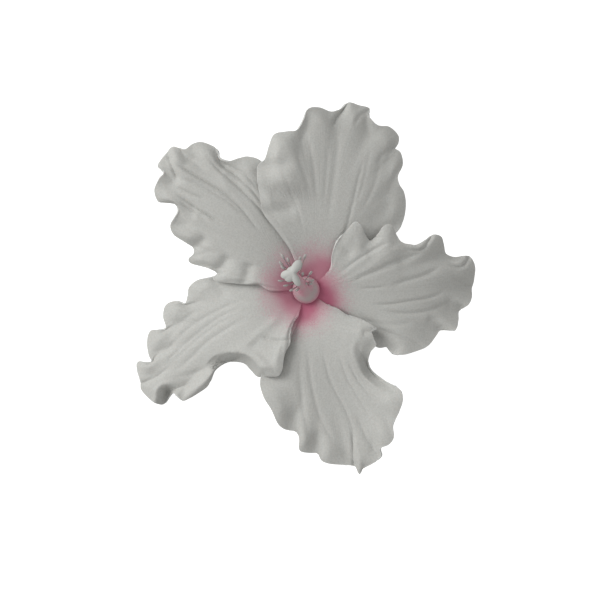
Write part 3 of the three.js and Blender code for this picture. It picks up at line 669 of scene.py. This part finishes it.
def relax(net):
    """Evens out a net of points inside its fixed edges, so that its ribs and rows don't cross."""
    for _ in range(NET_PASSES):
        along = (net[2:, 1:-1] - net[:-2, 1:-1]) / 2
        across = (net[1:-1, 2:] - net[1:-1, :-2]) / 2
        skew = net[2:, 2:] - net[2:, :-2] - net[:-2, 2:] + net[:-2, :-2]
        long, wide, lean = (
            (first * second).sum(axis=2, keepdims=True)
            for first, second in ((along, along), (across, across), (along, across))
        )
        beside = net[1:-1, 2:] + net[1:-1, :-2]
        in_line = net[2:, 1:-1] + net[:-2, 1:-1]
        middle = long * beside + wide * in_line - lean * skew / 2
        middle /= 2 * (long + wide) + 1e-9
        net[1:-1, 1:-1] += NET_PULL * (middle - net[1:-1, 1:-1])


def along_ribs(net, shares):
    """The points at given shares of the length of each of a net's ribs."""
    steps = np.linalg.norm(np.diff(net, axis=0), axis=2)
    travel = np.concatenate([np.zeros((1, net.shape[1])), np.cumsum(steps, axis=0)])
    result = np.empty((len(shares), net.shape[1], 2))
    for rib in range(net.shape[1]):
        for axis in (0, 1):
            places = shares * travel[-1, rib]
            result[:, rib, axis] = np.interp(places, travel[:, rib], net[:, rib, axis])
    return result


def petal_plan(margin, petal_bearing, shares):
    """A petal's points in plan, in rows at given shares of the way from its foot to its margin."""
    along = np.linspace(0, 1, RIB_COUNT + 1)
    bearings = petal_bearing + CLAW_HALF_ANGLE * (1 - 2 * along)
    feet = np.array([on_circle(bearing, CLAW_RADIUS) for bearing in bearings])
    net = feet + spread_inwards(margin - feet, np.linspace(0, 1, ROW_COUNT + 1), 1)
    relax(net)
    return along_ribs(net, shares)


def petal_surface(petal, petal_bearing):
    """A petal's points, in rows from the claw's foot to the margin."""
    samples = margin_samples(petal["margin"])
    margin, lifts, rolls = samples[:, :2], samples[:, 2:3], samples[:, 3]
    shares = 1 - (1 - np.linspace(0, 1, ROW_COUNT + 1)) ** ROW_CROWDING
    plan = petal_plan(margin, petal_bearing, shares)
    plain = np.array([[plain_height(petal_bearing, *point) for point in row] for row in plan])

    lift = spread_inwards(lifts, shares, FRILL_FADE)[:, :, 0]
    to_rib_end = np.linalg.norm(plan - margin, axis=2)
    curl = petal["curl"] * lifts[:, 0] * np.clip(1 - to_rib_end / CURL_DEPTH, 0, None) ** 1.5
    to_margin = np.array([np.linalg.norm(row[:, None] - margin, axis=2) for row in plan])
    roll_share = np.clip(1 - to_margin.min(axis=2) / ROLL_DEPTH, 0, None)
    roll = rolls[to_margin.argmin(axis=2)] * roll_share

    heights = plain + lift - curl - roll
    for depth, width, *path in petal["folds"]:
        heights -= fold_depth(plan, depth, width, path)
    return np.dstack([plan, np.maximum(heights, TABLE_CLEARANCE)])


def petal_bmesh(surface):
    """The blade of a petal: a grid that is laid over the points of its surface."""

    def place(u, v):
        return Vector(surface[round(v * ROW_COUNT), round(u * RIB_COUNT)])

    bm = bmesh.new()
    blade_grid(bm, RIB_COUNT, ROW_COUNT, place)
    return bm


def blush_group():
    """Where the raspberry blush is sprayed: full at the throat, fading out in fine speckles."""
    tree = bpy.data.node_groups.new("throat blush", "ShaderNodeTree")
    face = tree.interface
    sockets = (("Reach", 0.013), ("Centre X", 0.0), ("Centre Y", 0.0), ("Richness", 1.0))
    for name, value in sockets:
        socket = face.new_socket(name, in_out="INPUT", socket_type="NodeSocketFloat")
        socket.default_value = value
    face.new_socket("Blush", in_out="OUTPUT", socket_type="NodeSocketFloat")
    face.new_socket("Depth", in_out="OUTPUT", socket_type="NodeSocketFloat")

    make = Shader(tree)
    given = make.add("NodeGroupInput").outputs
    result = make.add("NodeGroupOutput")
    place = make.add("ShaderNodeTexCoord").outputs["Object"]
    split = make.add("ShaderNodeSeparateXYZ", Vector=place).outputs
    dx = make.math("SUBTRACT", split["X"], given["Centre X"])
    dy = make.math("SUBTRACT", split["Y"], given["Centre Y"])
    squares = make.math("MULTIPLY_ADD", dx, dx, make.math("MULTIPLY", dy, dy))
    share = make.math("DIVIDE", make.math("SQRT", squares), given["Reach"])

    cloud = make.noise(place, scale=190.0, detail=2.0)
    drift = make.math("MULTIPLY_ADD", cloud, BLUSH_DRIFT, -BLUSH_DRIFT / 2)
    spray = make.noise(place, scale=2400.0, detail=1.0)
    speckle = make.math("MULTIPLY_ADD", spray, BLUSH_SPECKLE, -BLUSH_SPECKLE / 2)
    spread = make.math("MULTIPLY", speckle, make.remap(share, 0.4, 1.0))
    worn = make.math("ADD", make.math("ADD", share, drift), spread)
    deep = make.remap(worn, DEPTH_END, DEPTH_FULL)
    depth = make.math("MULTIPLY", deep, given["Richness"])
    make.feed(result, Blush=make.remap(worn, BLUSH_END, BLUSH_FULL), Depth=depth)
    return tree


throat_blush = blush_group()


def petal_material(name, reach, centre, richness):
    """Matte, faintly flecked white petal with its own spread of blush."""
    material, make, shader = new_material(name)
    coords = make.add("ShaderNodeTexCoord").outputs
    group = make.tree.nodes.new("ShaderNodeGroup")
    group.node_tree = throat_blush
    x, y = centre
    make.feed(group, Reach=reach * MM, Centre_X=x * MM, Centre_Y=y * MM, Richness=richness)
    blush, depth = group.outputs["Blush"], group.outputs["Depth"]

    fleck = make.noise(coords["Object"], scale=1800.0, roughness=0.7)
    skin = make.blend(make.remap(fleck, 0.3, 0.7), PETAL_SHADE, PETAL_LIGHT)
    outwards = make.add("ShaderNodeSeparateXYZ", Vector=coords["UV"]).outputs["Y"]
    # A painted highlight along the rim, where the thin edge catches the light.
    skin = make.blend(make.remap(outwards, RIM_HIGHLIGHT_START, 1.0), skin, PETAL_RIM_HIGHLIGHT)
    pink = make.blend(depth, BLUSH_PALE, BLUSH_DEEP_AND_GLOW)

    veins = make.add("ShaderNodeMapping", Vector=coords["UV"], Scale=VEIN_SCALE).outputs[0]
    vein = make.noise(veins, scale=1.0, detail=2.0)
    grain = make.noise(coords["Object"], scale=3000.0, detail=2.0)
    relief = make.math("MULTIPLY_ADD", grain, 0.35, vein)
    make.feed(
        shader,
        Base_Color=make.blend(blush, skin, pink),
        # A painted glow: where the blush is deep the petal glows a little, which lifts the shade
        # in the throat.
        Emission_Color=make.blend(depth, BLACK, BLUSH_DEEP_AND_GLOW),
        Emission_Strength=0.27,
        Roughness=0.72,
        Specular_IOR_Level=0.25,
        Subsurface_Weight=0.12,
        Subsurface_Radius=(1.0, 0.8, 0.7),
        Subsurface_Scale=0.0008,
        Normal=make.bump(relief, strength=0.5, depth=0.12),
    )
    return material


for index, petal in enumerate(PETALS):
    bm = petal_bmesh(petal_surface(petal, FIRST_BEARING - index * PETAL_TURN))
    material = petal_material(petal["name"].replace("_", " "), *petal["blush"])
    blade = new_piece(petal["name"] + "_blade", bm, material)
    thicken(blade, PETAL_THICKNESS)
    soften_edges(blade, 0.2, 60)
    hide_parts(petal["name"])


# ---- Staminal column
# The tube that the stamens grow from: a swollen, translucent foot that fills the throat, and a
# thin shaft that leans to one side. One soft, jelly-like piece, rooted in the calyx's floor.

BULB_TOP = 14.5
COLUMN_TOP = 29
COLUMN_LEAN = 6.8
COLUMN_BEARING = 129  # towards which it leans
COLUMN_PROFILE = [
    (0, 3), (3.2, 3), (3.7, 4.2), (3.6, 8.5), (3.72, 9.8), (3.95, 10.5), (4.25, 11.2),
    (4.4, 12.1), (4.2, 13.2), (3.6, 14.2), (2.8, 15.1), (2.15, 16.2), (1.8, 18.5), (1.5, 23),
    (1.25, 26.5), (1, COLUMN_TOP), (0, COLUMN_TOP),
]
FLESH_PALE = (0.27, 0.25, 0.24, 1)
FLESH_FLUSHED = (0.34, 0.185, 0.215, 1)


def column_axis(height):
    """The middle of the column at a height; it leans over above the bulb."""
    rise = max(0, (height - BULB_TOP) / (COLUMN_TOP - BULB_TOP))
    x, y = on_circle(COLUMN_BEARING, COLUMN_LEAN * rise**1.2)
    return Vector((x, y, height))


def glowing_flesh_material(name):
    """Translucent flesh, clouded with pink, pinker at a slant, with a painted glow."""
    material, make, shader = new_material(name)
    cloud = make.noise(make.add("ShaderNodeTexCoord").outputs["Object"], scale=420.0)
    facing = make.add("ShaderNodeLayerWeight", Blend=0.4).outputs["Facing"]
    flush = make.remap(make.math("MULTIPLY_ADD", cloud, 0.5, facing), 0.35, 0.9)
    flesh = make.blend(flush, FLESH_PALE, FLESH_FLUSHED)
    make.feed(
        shader,
        Base_Color=flesh,
        # A painted glow: the flesh glows a little, which lifts the shade on the bulb and its
        # shaft.
        Emission_Color=flesh,
        Emission_Strength=0.32,
        Roughness=0.5,
        Subsurface_Weight=0.5,
        Subsurface_Radius=(1.0, 0.6, 0.6),
        Subsurface_Scale=0.0015,
    )
    return material


bm = bmesh.new()
spun(bm, COLUMN_PROFILE, 32)
for vert in bm.verts:
    vert.co += column_axis(vert.co.z) * Vector((1, 1, 0))
column = new_piece("column_flesh", bm, glowing_flesh_material("column flesh"))
add_modifier(column, "smooth", "SUBSURF", levels=2, render_levels=2)
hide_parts("staminal_column")


# ---- Stamens
# Thin, pale filaments that stand out from the column, each with a kidney-shaped anther on its
# end. The anthers are soft and grainy with pollen.

# The height of each filament's root, its anther's place in plan, and how far the filament rises.
STAMENS = [
    (17.6, 1.5, 1.9, 2.6), (18.2, -0.1, 1.9, 2.4), (18.8, 1.9, 2.9, 2.8),
    (19.4, -2.8, -0.1, 2.2), (20.0, 1.4, 5.2, 2.6), (20.6, -4.6, -0.1, 2.2),
    (21.2, -1.1, 4.9, 3.2), (21.8, -6.4, 1.3, 2.2), (22.6, -8, 2.8, 2), (23.4, -7.3, 6.9, 1.4),
    (24.2, -0.4, 10.3, 3.4), (25.0, -7.9, 8.2, 1.6), (25.8, -1.9, 9.6, 3),
    (26.6, -7.3, 10.3, 1.8), (27.2, -5.6, 9.2, 2.2),
]
FILAMENT_RADIUS = 0.2
FILAMENT_STEPS = 8
KNEE_SHARE = 0.55  # how far along its filament the bend lies
KNEE_SAG = 0.3  # how far it hangs below the straight line, as a share of the filament's rise
ANTHER_LENGTH = 2.0
ANTHER_WIDTH = 0.95
ANTHER_DEPTH = 0.76
ANTHER_BEND = 0.12  # how far both of its ends curve forwards
POLLEN_SHADE = (0.33, 0.31, 0.30, 1)
POLLEN_LIGHT = (0.50, 0.49, 0.47, 1)


def turn_up_to(aim):
    """The rotation that takes straight up to an aim."""
    return Vector((0, 0, 1)).rotation_difference(aim).to_matrix().to_4x4()


def grow_tube(bm, centres, radii, sides):
    """Extrudes a round section along a line of centres."""
    section = bmesh.ops.create_circle(bm, cap_ends=True, radius=radii[0], segments=sides)["verts"]
    face = section[0].link_faces[0]
    stand = Matrix.Translation(centres[0]) @ turn_up_to(centres[1] - centres[0])
    bmesh.ops.transform(bm, matrix=stand, verts=section)
    for i in range(1, len(centres)):
        grown = bmesh.ops.extrude_face_region(bm, geom=[face])["geom"]
        face = next(item for item in grown if isinstance(item, bmesh.types.BMFace))
        back = Matrix.Translation(-face.calc_center_median())
        before = centres[i] - centres[i - 1]
        after = centres[min(i + 1, len(centres) - 1)] - centres[max(i - 1, 0)]
        swing = before.rotation_difference(after).to_matrix().to_4x4()
        grow = Matrix.Scale(radii[i] / radii[i - 1], 4)
        move = Matrix.Translation(centres[i]) @ swing @ grow @ back
        bmesh.ops.transform(bm, matrix=move, verts=list(face.verts))


def grow_filament(bm, root, knee, tip):
    """Adds a filament that bends at its knee and tapers towards its tip."""
    steps = [step / FILAMENT_STEPS for step in range(FILAMENT_STEPS + 1)]
    centres = [(1 - t) ** 2 * root + 2 * t * (1 - t) * knee + t * t * tip for t in steps]
    radii = [lerp(1.25, 0.8, t) * FILAMENT_RADIUS for t in steps]
    grow_tube(bm, centres, radii, 8)


def add_anther(bm, tip, aim):
    """Adds an anther on a filament's tip: a bean that is bent and has a groove along its front."""
    anther = bmesh.ops.create_uvsphere(bm, u_segments=14, v_segments=10, radius=0.5)["verts"]
    for vert in anther:
        across, front, along = vert.co
        groove = 1 - 0.35 * math.exp(-((across / 0.14) ** 2)) * max(0, front)
        along *= ANTHER_LENGTH
        front *= ANTHER_DEPTH * groove
        vert.co = Vector((across * ANTHER_WIDTH, front + ANTHER_BEND * along * along, along))
    stand = Matrix.Translation(tip) @ turn_up_to(aim)
    bmesh.ops.transform(bm, matrix=stand, verts=anther)


def pollen_material(name):
    """Pale skin with a fine grain of pollen."""
    material, make, shader = new_material(name)
    place = make.add("ShaderNodeTexCoord").outputs["Object"]
    pollen = make.noise(place, scale=5200.0, detail=1.0)
    make.feed(
        shader,
        Base_Color=make.blend(pollen, POLLEN_SHADE, POLLEN_LIGHT),
        Roughness=0.7,
        Normal=make.bump(pollen, strength=0.8, depth=0.1),
    )
    return material


filament_bm = bmesh.new()
anther_bm = bmesh.new()
for height, x, y, rise in STAMENS:
    root = column_axis(height)
    tip = Vector((x, y, height + rise))
    knee = root.lerp(tip, KNEE_SHARE) - Vector((0, 0, KNEE_SAG * rise))
    grow_filament(filament_bm, root, knee, tip)
    add_anther(anther_bm, tip, tip - knee)

filament_flesh, make, shader = new_material("filament flesh")
make.feed(
    shader,
    Base_Color=(0.40, 0.30, 0.31, 1),
    Roughness=0.5,
    Subsurface_Weight=0.3,
    Subsurface_Scale=0.0006,
)
filaments = new_piece("filaments", filament_bm, filament_flesh)
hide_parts("staminal_column")

anthers = new_piece("anthers", anther_bm, pollen_material("anther pollen"))
add_modifier(anthers, "smooth", "SUBSURF", levels=1, render_levels=1)
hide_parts("staminal_column")


# ---- Stigma
# The white, fleshy body on the tip of the column, soft and finely grained. Its lobes spread to all
# sides from a short neck and run together, so they are joined into one skin.

# The bearing, reach and width of each lobe.
STIGMA_LOBES = [
    (56, 4.6, 3.0), (135, 2.0, 3.2), (197, 3.8, 2.8), (232, 3.3, 3.4), (297, 4.7, 2.3),
]
LOBE_BACK = 1  # how far each reaches back past the middle
LOBE_HALF_HEIGHT = 1.2
LOBE_DROOP = 0.7  # of its end, and as much rise at its back
LOBE_LEVEL = 2.1  # of its middle above the column's end
NECK_LENGTH = 2
NECK_LEVEL = 1.2

bm = bmesh.new()
seat = column_axis(COLUMN_TOP)
for bearing, reach, width in STIGMA_LOBES:
    lobe = bmesh.ops.create_uvsphere(bm, u_segments=24, v_segments=16, radius=1)["verts"]
    for vert in lobe:
        x, y, z = vert.co
        out = lerp(-LOBE_BACK, reach, (x + 1) / 2)
        side = width / 2 * y * lerp(0.75, 1.15, (x + 1) / 2)
        vert.co = Vector((out, side, LOBE_HALF_HEIGHT * z - LOBE_DROOP * x + LOBE_LEVEL))
    turn = Matrix.Rotation(math.radians(bearing), 4, "Z")
    bmesh.ops.transform(bm, matrix=Matrix.Translation(seat) @ turn, verts=lobe)
neck = bmesh.ops.create_cone(
    bm, cap_ends=True, segments=24, radius1=1, radius2=1.2, depth=NECK_LENGTH
)
bmesh.ops.translate(bm, vec=seat + Vector((0, 0, NECK_LEVEL)), verts=neck["verts"])

stigma_flesh, make, shader = new_material("stigma flesh")
place = make.add("ShaderNodeTexCoord").outputs["Object"]
grain = make.noise(place, scale=2600.0, detail=2.0)
make.feed(
    shader,
    Base_Color=(0.49, 0.495, 0.47, 1),
    Roughness=0.7,
    Normal=make.bump(grain, strength=0.4, depth=0.1),
)
stigma = new_piece("stigma_lobes", bm, stigma_flesh)
add_modifier(
    stigma, "joined", "REMESH", mode="VOXEL", voxel_size=0.12 * MM, use_smooth_shade=True
)
add_modifier(stigma, "smooth", "SMOOTH", factor=0.5, iterations=5)
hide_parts("stigma")


# ---- Table
# The bloom lies on plain white paper. The paper shows pure white to the camera, but is a pale grey
# to the light that bounces off it, so that the rolled margins aren't lit up from below.

TABLE_SIZE = 3  # in metres, like the sizes of the light and the camera below
WHITE = (1, 1, 1, 1)


def paper_material(name):
    """Matte paper that glows towards the camera alone."""
    material, make, shader = new_material(name)
    seen = make.add("ShaderNodeLightPath").outputs["Is Camera Ray"]
    make.feed(
        shader,
        Base_Color=(0.45, 0.45, 0.44, 1),
        Roughness=0.9,
        Emission_Color=make.blend(seen, BLACK, WHITE),
        Emission_Strength=1.0,
    )
    return material


bm = bmesh.new()
bmesh.ops.create_grid(bm, x_segments=1, y_segments=1, size=TABLE_SIZE / 2)
table_mesh = bpy.data.meshes.new("table")
bm.to_mesh(table_mesh)
bm.free()
table_mesh.materials.append(paper_material("table white"))
table = bpy.data.objects.new("table", table_mesh)
bpy.context.scene.collection.objects.link(table)


# ---- Light
# One broad, low window to the upper left, and the even light of the room, which is dimmer than the
# white that the camera sees behind the table.

LIGHT_BEARING = 153
LIGHT_ELEVATION = 34
LIGHT_DISTANCE = 1.1
LIGHT_SIZE = 0.85
LIGHT_ENERGY = 8.5
ROOM_LIGHT = 0.58

elevation = math.radians(LIGHT_ELEVATION)
x, y = on_circle(LIGHT_BEARING, math.cos(elevation))
aim = Vector((x, y, math.sin(elevation)))
light_data = bpy.data.lights.new("window", "AREA")
light_data.shape = "DISK"
light_data.size = LIGHT_SIZE
light_data.energy = LIGHT_ENERGY
window = bpy.data.objects.new("window", light_data)
window.location = aim * LIGHT_DISTANCE
window.rotation_euler = aim.to_track_quat("Z", "Y").to_euler()
bpy.context.scene.collection.objects.link(window)

world = bpy.data.worlds.new("soft room")
world.use_nodes = True
make = Shader(world.node_tree)
seen = make.add("ShaderNodeLightPath").outputs["Is Camera Ray"]
room = make.remap(seen, 0.0, 1.0, ROOM_LIGHT, 1.0)
make.feed(world.node_tree.nodes["Background"], Color=WHITE, Strength=room)
bpy.context.scene.world = world


# ---- Camera
# It looks straight down on the bloom through a long lens, from a little off its axis. Colours are
# shown as they are, with no contrast added.

VIEW_WIDTH = 0.192
VIEW_HEIGHT = 0.008  # the level at which the view is that wide
VIEW_CENTRE = (-1.92 * MM, -3.2 * MM)

camera_data = bpy.data.cameras.new("camera")
camera_data.lens = 135
camera_data.sensor_width = 36
distance = VIEW_WIDTH * camera_data.lens / camera_data.sensor_width
camera = bpy.data.objects.new("camera", camera_data)
camera.location = (*VIEW_CENTRE, VIEW_HEIGHT + distance)
bpy.context.scene.collection.objects.link(camera)
bpy.context.scene.camera = camera
bpy.context.scene.view_settings.view_transform = "Standard"
